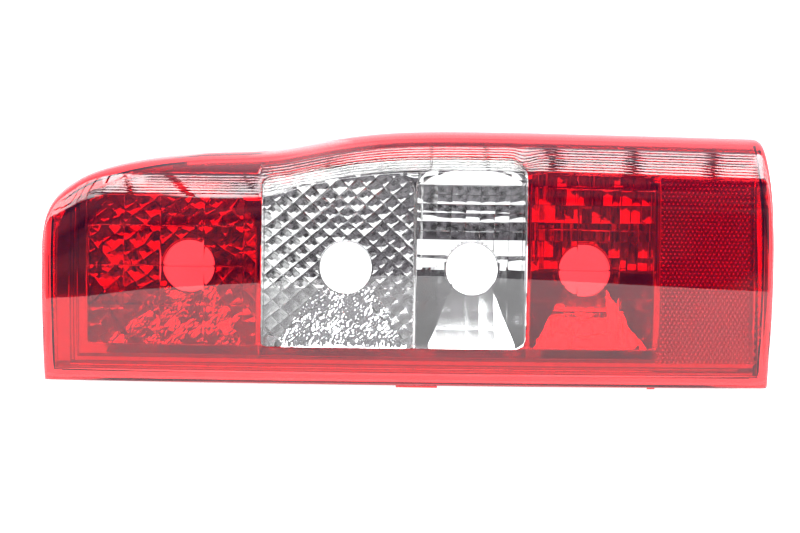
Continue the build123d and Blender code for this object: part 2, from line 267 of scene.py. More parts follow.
WIN_L, WIN_R, WIN_B, WIN_D = -95.0, 77.0, 23.0, 18.75
PX1 = [-210.0, -185.0, -161.0, -132.4, -106.5]
PX4 = [84.0, 109.8, 137.0, 162.0]
NEAR = (-1.8, -0.9, -0.4, 0.4, 0.9, 1.8)
EDGE = [0.0, 0.5, 1.1, 1.9, 2.8, 4.2, 5.6, 7.0, 8.5, 10.0, 12.0, 14.5]
cols = fill([XL + e for e in EDGE] + [XR - e for e in EDGE] + PX1 + PX4 + [b + e for b in PX1 + PX4 for e in NEAR] + [-98.6, -97.4, -96.2, WIN_L, -93.6, WIN_R], 2.7)
S = np.array(cols)
N_RIB = 9        # ribs over the right-hand part of the roll
ZL0, ZL1 = 121.5, 134.7
RIB_L = (ZL1 - ZL0) / 7      # rib pitch over the outer chamber
LOW = -1.6       # lower edge
rows = [("b", z) for z in fill([LOW, LOW + 0.5, LOW + 1.1, LOW + 1.9, LOW + 2.8, 2.6, 4.0, LOW + 7.0, LOW + 8.5, 10.0, 12.0, 14.5, 17.2, 20.0, 23.0, 47.2, 48.1, 48.6, 49.0, 49.4, 50.0], 2.7)]
M1 = [0.35, 0.709]
M4 = [0.287, 0.583, 0.878]
rows += [("m", f) for f in fill([0.0] + M1 + M4 + [f + e for f in M1 + M4 for e in (-0.021, -0.01, -0.0045, 0.0045, 0.01, 0.021)] + [1.0], 0.031)[1:-1]]
rows += [("r", k / 63.0) for k in range(0, 64)]
rows += [("s", k / 6.0) for k in range(1, 6)]
rows += [("t", d) for d in (10.0, 8.5, 7.0, 6.0, 5.0, 4.2, 3.5, 2.8, 2.2, 1.6, 1.1, 0.65, 0.3, 0.08, 0.0)]
NI, NJ = len(S), len(rows)

H = edge_h(S)
dH = (edge_h(np.minimum(S + 0.4, XR)) - edge_h(np.maximum(S - 0.4, XL))) / (np.minimum(S + 0.4, XR) - np.maximum(S - 0.4, XL))
KX = np.minimum(np.sqrt(1 + dH * dH), 3.0)
KX = np.minimum(KX, (H - 54.0) / 26.0)
# lower and upper limit of the ribbed zone, and the start of the plain edge strip
ZB = np.where(S > -97.0, np.maximum(H - np.interp(S, [-97.0, -40.0, 78.0, 230.0], [29.5, 27.6, 27.7, 29.0]), ZL0), ZL0)
ZB = np.minimum(ZB, H - KX * 14.5)
ZT = np.where(S > -97.0, H - 11.2, np.minimum(ZL1, H - 11.2))
ZT = np.minimum(ZT, H - KX * 11.2)
ZU = H - KX * 10.0
GX = np.zeros((NI, NJ))
GZ = np.zeros((NI, NJ))
for j, (kind, v) in enumerate(rows):
    if kind == "b":
        GZ[:, j] = v
    elif kind == "m":
        GZ[:, j] = 50.0 + (ZB - 50.0) * v
    elif kind == "r":
        GZ[:, j] = ZB + (ZT - ZB) * v
    elif kind == "s":
        GZ[:, j] = ZT + (ZU - ZT) * v
    else:
        GZ[:, j] = H - KX * v
wl = np.clip(1 - (S - XL) / 40.0, 0, 1)
wr = np.clip(1 - (XR - S) / 40.0, 0, 1)
for j in range(NJ):
    GX[:, j] = S + wl * (side_l(np.minimum(GZ[:, j], 90.0)) - XL) + wr * (side_r(GZ[:, j]) - XR)


def col_at(x):
    return int(np.argmin(np.abs(S - x)))


def row_at(kind, v):
    best = None
    for j, (k, q) in enumerate(rows):
        if k == kind and (best is None or abs(q - v) < abs(rows[best][1] - v)):
            best = j
    return best


iWL, iWR, jWB, jWT = col_at(WIN_L), col_at(WIN_R), row_at("b", WIN_B), row_at("r", (27.6 - WIN_D) / 16.4)
# rounded corners of the clear window: the grid is drawn in round them
for (ci, cj, sx, sz, r) in ((iWR, jWB, -1, 1, 7.0), (iWR, jWT, -1, -1, 11.0), (iWL, jWB, 1, 1, 3.0), (iWL, jWT, 1, -1, 4.0)):
    cx, cz = GX[ci, cj], GZ[ci, cj]
    dd = (GX - cx) ** 2 + (GZ - cz) ** 2
    g = np.exp(-dd / (0.55 * r) ** 2)
    GX += sx * 0.293 * r * g
    GZ += sz * 0.293 * r * g


def rounded(d, r):
    q = np.clip(1 - d / r, 0, 1)
    return r * (1 - np.sqrt(1 - q * q))


SX = np.repeat(S[:, None], NJ, 1)
BASE = face_y(GX, GZ)
DL = GX - side_l(np.minimum(GZ, 90.0))
DR = side_r(GZ) - GX
DT = np.array([[((H[i] - GZ[i, j]) / KX[i]) for j in range(NJ)] for i in range(NI)])
ER = 4.0
RIMY = RIM_Y0 + RIM_SLOPE * GZ
FLY = RIMY - LEG_SHORT
Y_OUT = BASE + rounded(DL, ER) + rounded(DR, ER) + rounded(GZ - LOW, ER) + rounded(DT, ER)
Y_OUT = np.minimum(Y_OUT, RIMY - 1.2)
ST = steep(GX, GZ)
Y_IN = BASE + LENS_T * np.minimum(ST, 3.0)

# inner optics: pillows over the outer chambers, ribs along the top roll
def pillow(u):
    return 1 - (2 * u - 1) ** 2


P_SAG = 0.03
pil = np.zeros((NI, NJ))
for xs, fr in ((PX1, M1), (PX4, M4)):
    zl_rows = [row_at("b", 23.0), row_at("b", 49.0)] + [row_at("m", f) for f in fr] + [row_at("r", 0.0)]
    for a, b in zip(xs, xs[1:]):
        ia, ib = col_at(a), col_at(b)
        for ja, jb in zip(zl_rows, zl_rows[1:]):
            gx, gz = GX[ia:ib + 1, ja:jb + 1], GZ[ia:ib + 1, ja:jb + 1]
            xa, xb = GX[ia, ja], GX[ib, ja]
            u = np.clip((gx - xa) / (xb - xa), 0, 1)
            z0, z1 = GZ[ia:ib + 1, ja:ja + 1], GZ[ia:ib + 1, jb:jb + 1]
            v = np.clip((gz - z0) / (z1 - z0), 0, 1)
            d = np.minimum(np.minimum(u, 1 - u) * (xb - xa), np.minimum(v, 1 - v) * (z1 - z0))
            pil[ia:ib + 1, ja:jb + 1] = P_SAG * (pillow(u) + 0.9 * pillow(v)) - 0.14 * np.exp(-d / 0.4)
Y_IN = Y_IN + pil
# fine ribs along the roll, on the outside: level over the outer chamber, along the upper contour elsewhere
rib = np.zeros((NI, NJ))
for j, (kind, v) in enumerate(rows):
    if kind == "r":
        ph = (v * N_RIB) % 1.0
        right = -0.17 * 4 * ph * (1 - ph)
        rib[:, j] = np.where(S > -95.5, right, 0.0)
zl = (GZ - ZL0) / RIB_L + 1e-6
ph = zl - np.floor(zl)
diag = GX - (-211.0 + (GZ - ZL0) * (26.0 / 11.9))
left = (-0.17 * 4 * ph * (1 - ph) + 0.06 * (ph - 0.5)) * np.clip(diag / 0.8, 0, 1) * np.clip((-97.6 - GX) / 1.0, 0, 1)
left = np.where((GZ >= ZL0) & (GZ <= ZL1 + 0.05), left, 0.0)
rib = rib + left
rib *= np.clip((XR - 9.0 - SX) / 1.5, 0, 1)
Y_OUT = Y_OUT + rib * np.minimum(ST ** 2, 3.2)
# the inner side of the ribbed zone is cut in steps of two leans, so that it mirrors less
for nr, i_s, lean_lo, lean_hi in ((9, [i for i in range(NI) if S[i] > -95.5 and not iWL < i < iWR], 0.42, 1.25), (7, [i for i in range(NI) if -208.0 < S[i] < -97.0], 0.26, 0.92)):
    rr = [j for j, (kind, v) in enumerate(rows) if kind == "r"]
    for k in range(nr):
        js = [j for j in rr if k <= rows[j][1] * nr + 1e-6 < k + 1 and rows[j][1] > 1e-6]
        for i in i_s:
            zc = sum(GZ[i, j] for j in js) / len(js)
            yc = sum(Y_IN[i, j] for j in js) / len(js)
            for j in js:
                Y_IN[i, j] = yc + (lean_lo if k < nr / 2 else lean_hi) * (GZ[i, j] - zc)
Y_IN = np.minimum(Y_IN, FLY - 0.6)

iL = [col_at(XL + e) for e in (2.8, 7.0, 8.5)]
iR = [col_at(XR - e) for e in (2.8, 7.0, 8.5)]
jB = [row_at("b", LOW + e) for e in (2.8, 7.0, 8.5)]
jT = [row_at("t", e) for e in (2.8, 7.0, 8.5)]


def inside(i, j, k):
    return iL[k] <= i < iR[k] and jB[k] <= j < jT[k]


FACE, SKIRT, LEG = 0, 1, 2
ctype = np.zeros((NI - 1, NJ - 1), int)
cpiece = np.zeros((NI - 1, NJ - 1), int)
for i in range(NI - 1):
    for j in range(NJ - 1):
        if not inside(i, j, 0):
            ctype[i, j] = SKIRT
        elif inside(i, j, 1) and not inside(i, j, 2):
            ctype[i, j] = LEG
        if iWL <= i < iWR and jWB <= j < jWT:
            cpiece[i, j] = 1
Y_BACK = {FACE: Y_IN, SKIRT: RIMY, LEG: FLY}
GROOVE = 0.45


def lens_piece(which, name, mat):
    verts, faces, key, info = [], [], {}, []

    def vert(i, j, layer):
        k = (i, j, layer)
        if k in key:
            return key[k]
        x, z = GX[i, j], GZ[i, j]
        if layer == "o" or layer == "g":
            y = Y_OUT[i, j]
            on = (i in (iWL, iWR) and jWB <= j <= jWT) or (j in (jWB, jWT) and iWL <= i <= iWR)
            if on:
                if layer == "g":
                    y += GROOVE
                else:
                    # the two mouldings meet in a fine rounded groove
                    s = 1.0 if which == 0 else -1.0
                    if i == iWL:
                        x -= s * GROOVE
                    if i == iWR:
                        x += s * GROOVE
                    if j == jWB:
                        z -= s * GROOVE
                    if j == jWT:
                        z += s * GROOVE
        else:
            y = Y_BACK[layer][i, j]
        key[k] = len(verts)
        verts.append(W(x, y, z))
        info.append(k)
        return key[k]

    for i in range(NI - 1):
        for j in range(NJ - 1):
            if cpiece[i, j] != which:
                continue
            c = [(i, j), (i + 1, j), (i + 1, j + 1), (i, j + 1)]
            t = int(ctype[i, j])
            faces.append([vert(*p, "o") for p in c])
            faces.append([vert(*p, t) for p in reversed(c)])
            for e, (di, dj) in enumerate(((0, -1), (1, 0), (0, 1), (-1, 0))):
                a, b = c[e], c[(e + 1) % 4]
                ni, nj = i + di, j + dj
                if not (0 <= ni < NI - 1 and 0 <= nj < NJ - 1):
                    faces.append([vert(*b, "o"), vert(*a, "o"), vert(*a, t), vert(*b, t)])
                elif cpiece[ni, nj] != which:
                    faces.append([vert(*b, "o"), vert(*a, "o"), vert(*a, "g"), vert(*b, "g")])
                    faces.append([vert(*b, "g"), vert(*a, "g"), vert(*a, t), vert(*b, t)])
                elif ctype[ni, nj] != t and (e in (0, 3)):
                    t2 = int(ctype[ni, nj])
                    faces.append([vert(*b, t2), vert(*a, t2), vert(*a, t), vert(*b, t)])
    lines_i = set(col_at(x) for x in PX1 + PX4)
    lines_j = set([row_at("b", 47.0)] + [row_at("m", f) for f in M1 + M4])

    valley_r = set(row_at("r", k / 9.0) for k in range(10))
    valley_l = set(row_at("r", k / 7.0) for k in range(8))

    def sharp(a, b):
        A, B = info[a], info[b]
        if A[2] == "o" and B[2] == "o" and A[1] == B[1]:
            xm = S[A[0]]
            return A[1] in (valley_r if xm > -96.0 else valley_l) and xm > -212.0
        if A[2] != FACE or B[2] != FACE:
            return False
        if A[0] == B[0] and A[0] in lines_i:
            return True
        if A[1] == B[1] and A[1] in lines_j:
            return True
        return False

    return new_mesh(name, verts, faces, mat, True, 40.0, sharp)


lens_red = lens_piece(0, "lens_red_moulding", M_RED)
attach(lens_red, "root")
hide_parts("lens_red")
lens_clear = lens_piece(1, "lens_clear_window", M_CLEAR)
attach(lens_clear, "root")
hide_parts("lens_clear")


def boxmesh(name, x0, x1, y0, y1, z0, z1, mat):
    v = [W(x, y, z) for x in (x0, x1) for y in (y0, y1) for z in (z0, z1)]
    f = [(0, 1, 3, 2), (4, 6, 7, 5), (0, 4, 5, 1), (2, 3, 7, 6), (0, 2, 6, 4), (1, 5, 7, 3)]
    ob = new_mesh(name, v, f, mat, False)
    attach(ob, "root")
    return ob


for k, (gx, gw, gh) in enumerate(((6.5, 27.0, 1.3), (160.5, 5.0, 0.8))):
    gy = float(face_y(np.array([gx]), np.array([1.0]))[0]) + 6.0
    boxmesh("lens_gate_%d" % (k + 1), gx - gw / 2, gx + gw / 2, gy, gy + 2.4, LOW - gh, LOW - 0.02, M_RED)


# ---------------------------------------------------------------- facets of the bowls
def par_y(x, z, b):
    # bowl depth, levelled off at the mouth of the chamber
    y = VERTEX - ((x - b[0]) ** 2 + (z - b[1]) ** 2) / (4 * FOCUS)
    lim = 17.6 + x * x / (2 * RX)
    return 0.5 * (y + lim + math.sqrt((y - lim) ** 2 + 9.0))


SKIN = 1.3     # the facets stand this much in front of the bowl's plain face


def patch(verts, faces, corners, ys, bulge, n, tilt=0.0, fine=0.0, grain=0.0):
    # one facet: four corners (x, z), their depths, and a crowned face
    base = len(verts)
    (x0, z0), (x1, z1), (x2, z2), (x3, z3) = corners
    for a in range(n + 1):
        u = a / n
        for c in range(n + 1):
            v = c / n
            x = (1 - u) * (1 - v) * x0 + u * (1 - v) * x1 + u * v * x2 + (1 - u) * v * x3
            z = (1 - u) * (1 - v) * z0 + u * (1 - v) * z1 + u * v * z2 + (1 - u) * v * z3
            y = (1 - u) * (1 - v) * ys[0] + u * (1 - v) * ys[1] + u * v * ys[2] + (1 - u) * v * ys[3]
            y -= bulge[0] * 4 * u * (1 - u) + bulge[1] * 4 * v * (1 - v)
            y -= tilt * v
            y -= fine * (abs(math.sin(3 * math.pi * u)) + abs(math.sin(3 * math.pi * v)))
            if 0 < a < n and 0 < c < n:
                y -= grain * scatter(x, z, 7)
            verts.append(W(x, y - SKIN, z))
    for a in range(n):
        for c in range(n):
            p = base + a * (n + 1) + c
            faces.append((p, p + n + 1, p + n + 2, p + 1))


def clipped(name, verts, faces, planes, hole, mat=None):
    me = bpy.data.meshes.new(name)
    me.from_pydata(verts, [], faces)
    bm = bmesh.new()
    bm.from_mesh(me)
    for co, no in planes:
        g = bm.verts[:] + bm.edges[:] + bm.faces[:]
        bmesh.ops.bisect_plane(bm, geom=g, plane_co=Vector(co), plane_no=Vector(no), clear_outer=True, dist=1e-7)
    hx, hz = hole
    dead = [f for f in bm.faces if math.hypot(f.calc_center_median().x / MM - hx, f.calc_center_median().z / MM - FLOOR - hz) < HOLE_R + 1.0]
    bmesh.ops.delete(bm, geom=dead, context="FACES")
    bm.to_mesh(me)
    bm.free()
    me.polygons.foreach_set("use_smooth", [True] * len(me.polygons))
    me.set_sharp_from_angle(angle=math.radians(50))
    me.materials.append(mat or M_METAL)
    ob = bpy.data.objects.new(name, me)
    scene.collection.objects.link(ob)
    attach(ob, "root")
    return ob


def chamber_planes(i, grow=-0.15):
    x0, x1, z0, z1 = CHAMBERS[i]
    r = ARCH[i]
    pl = [(W(x0 - grow, 0, 0), (-1, 0, 0)), (W(x1 + grow, 0, 0), (1, 0, 0)),
          (W(0, 0, z0 - grow), (0, 0, -1)), (W(0, 0, z1 + grow), (0, 0, 1))]
    for sx, cx in ((-1, x0 + r), (1, x1 - r)):
        for k in range(1, 6):
            a = math.radians(90.0 * k / 6)
            n = (sx * math.cos(a), 0, math.sin(a))
            pl.append((W(cx + (r + grow) * n[0], 0, z1 - r + (r + grow) * n[2]), n))
    return pl


def scatter(m, k, c):
    # an even spread between -1 and 1 that is the same each time
    v = math.sin(m * 127.1 + k * 311.7 + c * 74.7) * 43758.5453
    return 2 * (v - math.floor(v)) - 1


def diamonds(i, a, b, bulge, n, extra, tag, keep=(0.30, 0.07), lean=None, off=(0.0, 0.0), fine=0.0, uneven=(0.0, 0.03), up=0.0, mat=None, grain=0.0):
    # lozenge facets on a slanted lattice; each one leans less than the bowl does, or by a lean of its own
    bx, bz = BULBS[i]
    x0, x1, z0, z1 = CHAMBERS[i]
    verts, faces = [], []
    R = 16
    for m in range(-R, R):
        for k in range(-R, R):
            cs = [(bx + off[0] + p * a[0] + q * b[0] + uneven[0] * scatter(p, q, 1), bz + off[1] + p * a[1] + q * b[1] + uneven[0] * scatter(p, q, 2))
                  for p, q in ((m, k), (m + 1, k), (m + 1, k + 1), (m, k + 1))]
            if max(c[0] for c in cs) < x0 or min(c[0] for c in cs) > x1 or max(c[1] for c in cs) < z0 or min(c[1] for c in cs) > z1:
                continue
            xc, zc = sum(c[0] for c in cs) / 4, sum(c[1] for c in cs) / 4
            yc = par_y(xc, zc, (bx, bz))
            gx = (par_y(xc + 0.5, zc, (bx, bz)) - par_y(xc - 0.5, zc, (bx, bz))) * keep[0]
            gz = (par_y(xc, zc + 0.5, (bx, bz)) - par_y(xc, zc - 0.5, (bx, bz))) * keep[1]
            if lean is not None:
                gx, gz = lean[0] * gx, lean[1]
            gx, gz = gx + uneven[1] * scatter(m, k, 3), gz + up + uneven[1] * scatter(m, k, 4)
            ys = [yc + gx * (c[0] - xc) + gz * (c[1] - zc) for c in cs]
            over = max(y - par_y(c[0], c[1], (bx, bz)) for y, c in zip(ys, cs))
            patch(verts, faces, cs, [y - max(over, 0.0) for y in ys], (bulge, bulge), n, 0.0, fine, grain)
    return clipped("bowl_%d_%s" % (i + 1, tag), verts, faces, chamber_planes(i) + extra, (bx, bz), mat)


def bands(i, w, h, bulge, tilt, n, extra, tag, zoff=0.0, curve=0.0):
    bx, bz = BULBS[i]
    x0, x1, z0, z1 = CHAMBERS[i]
    verts, faces = [], []
    for m in range(-14, 14):
        for k in range(-14, 14):
            def pt(p, q):
                x = bx + p * w
                return (x, bz + zoff + q * h - curve * (x - bx) ** 2)
            cs = [pt(m, k), pt(m + 1, k), pt(m + 1, k + 1), pt(m, k + 1)]
            if max(c[0] for c in cs) < x0 or min(c[0] for c in cs) > x1 or max(c[1] for c in cs) < z0 or min(c[1] for c in cs) > z1:
                continue
            ys = [par_y(c[0], c[1], (bx, bz)) for c in cs]
            patch(verts, faces, cs, ys, bulge, n, tilt)
    return clipped("bowl_%d_%s" % (i + 1, tag), verts, faces, chamber_planes(i) + extra, (bx, bz))


def strips(i, edges, slopes, w, bulge, n, extra, tag, keepx=0.25, uneven=0.0, mat=None):
    # level strips, each with its own lean from its lower to its upper edge, fluted along the strip
    bx, bz = BULBS[i]
    x0, x1, z0, z1 = CHAMBERS[i]
    verts, faces = [], []
    for (za, zb), (sa, sb) in zip(zip(edges, edges[1:]), slopes):
        zc, h = (za + zb) / 2, zb - za
        for m in range(-14, 14):
            xa, xb = max(bx + (m - 0.5) * w, x0), min(bx + (m + 0.5) * w, x1)
            if xb <= xa:
                continue
            xm = (xa + xb) / 2
            odd = uneven * scatter(m, zc, 5)
            gx = uneven * scatter(m, zc, 6) + (par_y(xm + 0.5, zc, (bx, bz)) - par_y(xm - 0.5, zc, (bx, bz))) * keepx
            ya, yb = par_y(xm, zc, (bx, bz)) - gx * (xb - xa) / 2, par_y(xm, zc, (bx, bz)) + gx * (xb - xa) / 2
            base = len(verts)
            lo, hi = h * (-(sa + odd) * 0.5 - (sb - sa) * 0.125), h * ((sa + odd) * 0.5 + (sb - sa) * 0.375)
            over = max(0.0, max(y + d - par_y(x, z, (bx, bz)) for x, y in ((xa, ya), (xb, yb)) for d, z in ((lo, za), (hi, zb))))
            for p in range(n + 1):
                u = p / n
                for q in range(n + 1):
                    t = q / n
                    y = ya + (yb - ya) * u - bulge * 4 * u * (1 - u) - over
                    y += h * ((sa + odd) * (t - 0.5) + (sb - sa) * (t * t - 0.25) / 2)
                    verts.append(W(xa + (xb - xa) * u, y - SKIN, za + h * t))
            for p in range(n):
                for q in range(n):
                    c = base + p * (n + 1) + q
                    faces.append((c, c + n + 1, c + n + 2, c + 1))
    return clipped("bowl_%d_%s" % (i + 1, tag), verts, faces, chamber_planes(i) + extra, (bx, bz), mat)


def sector(i, half_top, half_bot_l, half_bot_r, z_top):
    # the planes that part the lower sector of a bowl from the rest
    bx, bz = BULBS[i]
    z0 = CHAMBERS[i][2]
    out = []
    for s, hb in ((-1, half_bot_l), (1, half_bot_r)):
        p = Vector((bx + s * half_top, z_top))
        q = Vector((bx + s * hb, z0))
        d = (q - p).normalized()
        n = Vector((-d.y, d.x))
        if n.x * s < 0:
            n = -n
        out.append(((W(p.x, 0, p.y)), (n.x, 0, n.y)))
    return out


def neg(pl):
    return (pl[0], tuple(-c for c in pl[1]))


def below(z):
    return (W(0, 0, z), (0, 0, 1))


def above(z):
    return (W(0, 0, z), (0, 0, -1))


A2, B2 = (6.05, 5.3), (-5.65, 5.3)
SEC = {0: (18.0, 50.0, 40.0), 1: (18.0, 46.0, 42.0), 2: (14.0, 30.0, 28.0), 3: (15.0, 36.0, 38.0)}
ZS = 61.0
ZE = [74.3, 83.7, 94.4, 106.4, 117.7, 129.7, 140.0]
ZE3 = [74.3, 83.7, 94.4, 100.4, 106.4, 112.0, 117.7, 123.7, 129.7, 140.0]
LEAN = [(-0.30, 0.0), (-0.36, -0.30), (0.02, 0.08), (-0.06, 0.06), (-0.16, -0.04), (-0.12, 0.04), (-0.17, -0.02), (-0.10, 0.05), (-0.36, -0.34)]
ZLOW = [22.0, 34.5, 46.5, 59.0, 75.0]
LEAN_LOW = {2: [(0.55, 0.43), (0.49, 0.36), (0.43, 0.31), (0.32, 0.24)], 3: [(0.60, 0.52), (0.58, 0.49), (0.54, 0.45), (0.42, 0.3)]}
LEAN4 = [(-0.12, 0.05), (-0.12, -0.02), (0.02, 0.08), (-0.16, -0.02), (-0.14, 0.02), (-0.10, 0.02)]
for i in range(4):
    ht, hl, hr = SEC[i]
    left, right = sector(i, ht, hl, hr, ZS)
    if i < 2:
        un, up = ((2.0, 0.13), 0.0) if i == 0 else ((0.3, 0.05), 0.012)
        diamonds(i, A2, B2, 0.26, 9, [above(ZS)], "upper", fine=0.04, uneven=un, up=up, grain=0.035)
        diamonds(i, A2, B2, 0.26, 9, [below(ZS), neg(left)], "left", fine=0.03, uneven=un, up=up + 0.13, mat=M_PEEN, grain=0.02)
        diamonds(i, A2, B2, 0.26, 9, [below(ZS), neg(right)], "right", fine=0.03, uneven=un, up=up + 0.13, mat=M_PEEN, grain=0.02)
        if i == 0:
            diamonds(i, A2, B2, 0.06, 12, [below(ZS), left, right], "lower", lean=(0.03, 0.36), off=(0.0, 2.65), fine=0.0, uneven=(2.0, 0.06), mat=M_PEEN, grain=0.13)
        else:
            diamonds(i, A2, B2, 0.02, 12, [below(ZS), left, right], "lower", lean=(0.03, 0.425), off=(0.0, 2.65), fine=0.0, uneven=(0.3, 0.04), grain=0.15)
    else:
        tops, ze = (LEAN, ZE3) if i == 2 else (LEAN4, ZE)
        strips(i, ze, tops, 9.6 if i == 2 else 6.2, 0.25 if i == 2 else 0.27, 7, [], "upper", 0.25, 0.035 if i == 2 else 0.11)
        side = [20.0, 38.0, 56.0, ZE[0]]
        strips(i, side, [(0.30, 0.30)] * 3, 46.0, 0.0, 4, [below(ZE[0]), neg(left)], "left", 0.10)
        strips(i, side, [(0.30, 0.30)] * 3, 46.0, 0.0, 4, [below(ZE[0]), neg(right)], "right", 0.10)
        strips(i, ZLOW, LEAN_LOW[i], 9.6, 0.16 if i == 2 else 0.03, 6, [below(ZE[0]), left, right], "lower", 0.3, 0.025 if i == 2 else 0.0, M_PEEN if i == 2 else M_METAL)


def ring(name, hx, hz, r0, r1, y0, y1, mat, n=72):
    v, f = [], []
    for k in range(n):
        a = 2 * math.pi * k / n
        c, s = math.cos(a), math.sin(a)
        for r, y in ((r1, y0 + 0.8), (r1 - 0.6, y0), (r0 + 0.5, y0), (r0, y0 + 0.5), (r0, y1), (r1, y1)):
            v.append(W(hx + r * c, y, hz + r * s))
    for k in range(n):
        p, q = 6 * k, 6 * ((k + 1) % n)
        for e in range(6):
            f.append((p + e, q + e, q + (e + 1) % 6, p + (e + 1) % 6))
    ob = new_mesh(name, v, f, mat, True, 50)
    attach(ob, "root")
    return ob


for i, (hx, hz) in enumerate(BULBS):
    yr = VERTEX - HOLE_R ** 2 / (4 * FOCUS) - SKIN - 1.3
    ring("bulb_hole_rim_%d" % (i + 1), hx, hz, HOLE_R - 0.35, HOLE_R + 2.0, yr, VERTEX - 0.5, M_FRAME)

# ---------------------------------------------------------------- stepped frame in front of the bowls
MOUTHS = [(CHAMBERS[i], ARCH[i], 3.0) for i in range(4)] + [((164.9, 226.4, 17.4, 139.6), 2.0, 2.0)]


def mouth_dist(x, z, m):
    # distance to the outline of a mouth, negative inside
    (x0, x1, z0, z1), rt, rb = m
    cx, hx, cz, hz = (x0 + x1) / 2, (x1 - x0) / 2, (z0 + z1) / 2, (z1 - z0) / 2
    r = np.where(z > cz, rt, rb)
    qx, qz = np.abs(x - cx) - hx + r, np.abs(z - cz) - hz + r
    return np.hypot(np.maximum(qx, 0), np.maximum(qz, 0)) + np.minimum(np.maximum(qx, qz), 0) - r


def nearest(x, z):
    d = np.full(np.shape(x), 1e9)
    for m in MOUTHS:
        d = np.minimum(d, mouth_dist(x, z, m))
    return d


def thin(vals, gap):
    out = []
    for v in sorted(vals):
        if not out or v - out[-1] > gap:
            out.append(v)
    return np.array(out)


def step_at(s, a, b, e):
    return np.clip((s - a) / e, 0, 1) * np.clip((b - s) / e, 0, 1)


def frame_y(x, z):
    sag = x * x / (2 * RX)
    y = face_y(x, z) + 7.0
    y = np.minimum(y, 16.9 + sag)
    # an upward-leaning strip under the chambers, with a rounded end
    end = np.clip((np.hypot(np.maximum(-194.0 - x, 0), np.maximum(np.abs(z - 20.6) - 0.2, 0)) - 2.6) / 0.6, 0, 1)
    inside_strip = np.where(x > -194.0, np.clip((3.4 - np.abs(z - 20.6)) / 0.5, 0, 1), 1 - end) * np.clip((163.0 - x) / 0.6, 0, 1)
    y = y * (1 - inside_strip) + (15.7 + sag + 0.14 * (z - 17.4)) * inside_strip
    # two grooves that run round the outer and the lower side
    sl = np.interp(x, [-231.4, -221.6, -218.3, -217.0, -215.3, -209.0], [0, 1, 1.5, 2, 2.5, 3])
    sb = np.interp(z, [8.0, 9.7, 12.3, 15.2, 16.9, 24.0], [0, 1, 1.5, 2, 2.5, 3])
    q = np.minimum(sl, sb)
    y = y + 1.5 * step_at(q, 1.0, 1.5, 0.14) + 1.2 * step_at(q, 2.0, 2.5, 0.16)
    # the walls between the chambers run on down over the strip
    for xd in (-96.5, 4.5, 78.0, 162.0):
        y = y - 1.5 * np.clip(1 - ((x - xd) / 1.3) ** 2, 0, 1) * step_at(z, 15.5, 25.5, 1.5)
    return y + rounded(np.maximum(nearest(x, z), 0), 1.3)


def front_frame():
    offs = (0.0, 0.4, 0.9, 1.5)
    gx = list(np.arange(-231.4, -208.0, 0.45)) + list(np.arange(-208.0, 229.6, 2.0)) + [xd + k for xd in (-96.5, 4.5, 78.0, 162.0) for k in (-1.3, -0.65, 0.0, 0.65, 1.3)]
    gz = list(np.arange(7.3, 26.0, 0.42)) + list(np.arange(26.0, 141.0, 2.0))
    for (x0, x1, z0, z1), rt, rb in MOUTHS:
        gx += [x0 - o for o in offs] + [x1 + o for o in offs]
        gz += [z0 - o for o in offs] + [z1 + o for o in offs]
    gx, gz = thin(gx, 0.12), thin(gz, 0.12)
    xx, zz = np.meshgrid(gx, gz, indexing="ij")
    cx, cz = (xx[:-1, :-1] + xx[1:, 1:]) / 2, (zz[:-1, :-1] + zz[1:, 1:]) / 2
    top = np.interp(cx, S, ZB) - 2.0
    keep = (nearest(cx, cz) > 0) & (cz < top)
    # corners that fall inside a mouth are drawn out on to its outline
    px, pz = xx.copy(), zz.copy()
    for k in range(2):
        d = nearest(px, pz)
        e = 0.02
        ddx = (nearest(px + e, pz) - nearest(px - e, pz)) / (2 * e)
        ddz = (nearest(px, pz + e) - nearest(px, pz - e)) / (2 * e)
        m = (d < 0) & (d > -2.6)
        px, pz = np.where(m, px - d * ddx, px), np.where(m, pz - d * ddz, pz)
    py = frame_y(px, pz)
    verts, faces, key = [], [], {}

    def vid(i, j, back=False):
        k = (i, j, back)
        if k not in key:
            key[k] = len(verts)
            y = py[i, j]
            if back:
                y = max(y + 0.8, 17.4 + px[i, j] ** 2 / (2 * RX))
            verts.append(W(px[i, j], y, pz[i, j]))
        return key[k]

    ni, nj = keep.shape
    for i in range(ni):
        for j in range(nj):
            if not keep[i, j]:
                continue
            c = [(i, j), (i + 1, j), (i + 1, j + 1), (i, j + 1)]
            faces.append([vid(*q) for q in c])
            for e, (di, dj) in enumerate(((0, -1), (1, 0), (0, 1), (-1, 0))):
                a, b = i + di, j + dj
                if not (0 <= a < ni and 0 <= b < nj and keep[a, b]):
                    p, q = c[e], c[(e + 1) % 4]
                    faces.append([vid(*q), vid(*p), vid(*p, True), vid(*q, True)])
    ob = new_mesh("reflector_front_frame", verts, faces, M_FRAME, True, 38.0)
    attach(ob, "root")
    return ob


front_frame()


